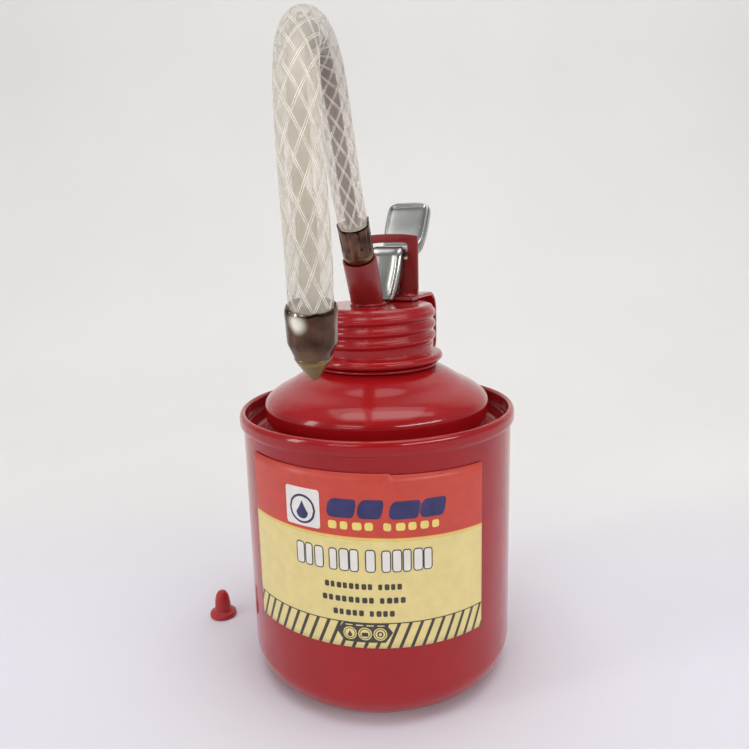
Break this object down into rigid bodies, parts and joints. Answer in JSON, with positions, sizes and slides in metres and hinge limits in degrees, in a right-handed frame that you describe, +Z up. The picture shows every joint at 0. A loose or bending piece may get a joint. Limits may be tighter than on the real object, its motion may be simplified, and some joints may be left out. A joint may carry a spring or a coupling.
{
  "type": "oil can",
  "caption": "Thumb-lever pump oil can: round red can with a gutter rim, screw-on pump head, finger handle, curved flexible hose spout with a metal nozzle, and a loose nozzle cap.",
  "frame": {"origin": "centre of the flat bottom that the can stands on", "axes": "+Z up along the can's axis; the pump head's plane is YZ, with the hose spout leaving towards -Y and the lever and handle towards +Y"},
  "size_m": [0.121, 0.1486, 0.2009],
  "materials": {
    "red_enamel": "glossy stoved enamel on sheet steel",
    "plated_steel": "bright plated pressed steel with fine wear",
    "brass": "bright turned brass",
    "bronze": "dark tarnished crimped sleeve",
    "rubber": "black oil-resistant rubber",
    "steel": "plain machined steel",
    "label": "printed and varnished paper label",
    "clear_hose": "clear flexible tube with a pale braid inside",
    "red_rubber": "satin red moulded rubber"
  },
  "bodies": {
    "can": {"body_shell": "red_enamel", "shoulder": "red_enamel", "neck_collar": "red_enamel", "label": "label"},
    "gasket": {"cap_gasket": "rubber"},
    "head": {"screw_cap": "red_enamel", "arch_bracket": "red_enamel", "bracket_rivet_left": "red_enamel", "bracket_rivet_right": "red_enamel", "handle_strap": "red_enamel", "spout_socket": "red_enamel", "outlet_nipple": "brass", "hose_stem": "brass", "socket_ferrule": "bronze", "hose": "clear_hose", "nozzle_ferrule": "bronze", "nozzle_tip": "brass", "gland_bush": "brass", "packing_ring": "rubber", "pump_block": "brass", "pump_barrel": "brass", "return_spring": "steel", "foot_valve": "brass", "suction_tube": "brass", "strainer": "brass", "lever_pin": "steel"},
    "lever": {"lever": "plated_steel"},
    "plunger": {"plunger_rod": "steel", "cross_pin": "steel", "piston": "brass", "piston_washer": "rubber", "piston_nut": "steel"},
    "foot_ball": {"foot_valve_ball": "steel"},
    "outlet_ball": {"outlet_valve_ball": "steel"},
    "nozzle_cap": {"nozzle_cap": "red_rubber"}
  },
  "joints": [
    {"name": "head_rise", "type": "slide", "parent": "can", "child": "gasket", "axis": [0, 0, 1], "range_m": [0, 0.00905]},
    {"name": "head_turn", "type": "hinge", "parent": "gasket", "child": "head", "pos_m": [0, 0, 0.1278], "axis": [0, 0, 1], "range_deg": [0, 900]},
    {"name": "lever_press", "type": "hinge", "parent": "head", "child": "lever", "pos_m": [0, 0.0174, 0.1442], "axis": [-1, 0, 0], "range_deg": [0, 16], "stiffness_Nm_per_rad": 0.4, "springref_deg": -20.05},
    {"name": "plunger_stroke", "type": "slide", "parent": "head", "child": "plunger", "axis": [0, 0, 1], "range_m": [0, 0.0026], "deforming": ["return_spring"]},
    {"name": "foot_ball_lift", "type": "slide", "parent": "head", "child": "foot_ball", "axis": [0, 0, 1], "range_m": [0, 0.001]},
    {"name": "outlet_ball_lift", "type": "slide", "parent": "head", "child": "outlet_ball", "axis": [0, 0, 1], "range_m": [0, 0.0006]},
    {"name": "nozzle_cap_lift", "type": "slide", "parent": "can", "child": "nozzle_cap", "axis": [0, 0, 1], "range_m": [0, 0.03]}
  ],
  "couplings": [
    {"joint": "head_rise", "follows": "head_turn", "m_per_rad": 0.00057296},
    {"joint": "plunger_stroke", "follows": "lever_press", "m_per_rad": 0.009}
  ]
}
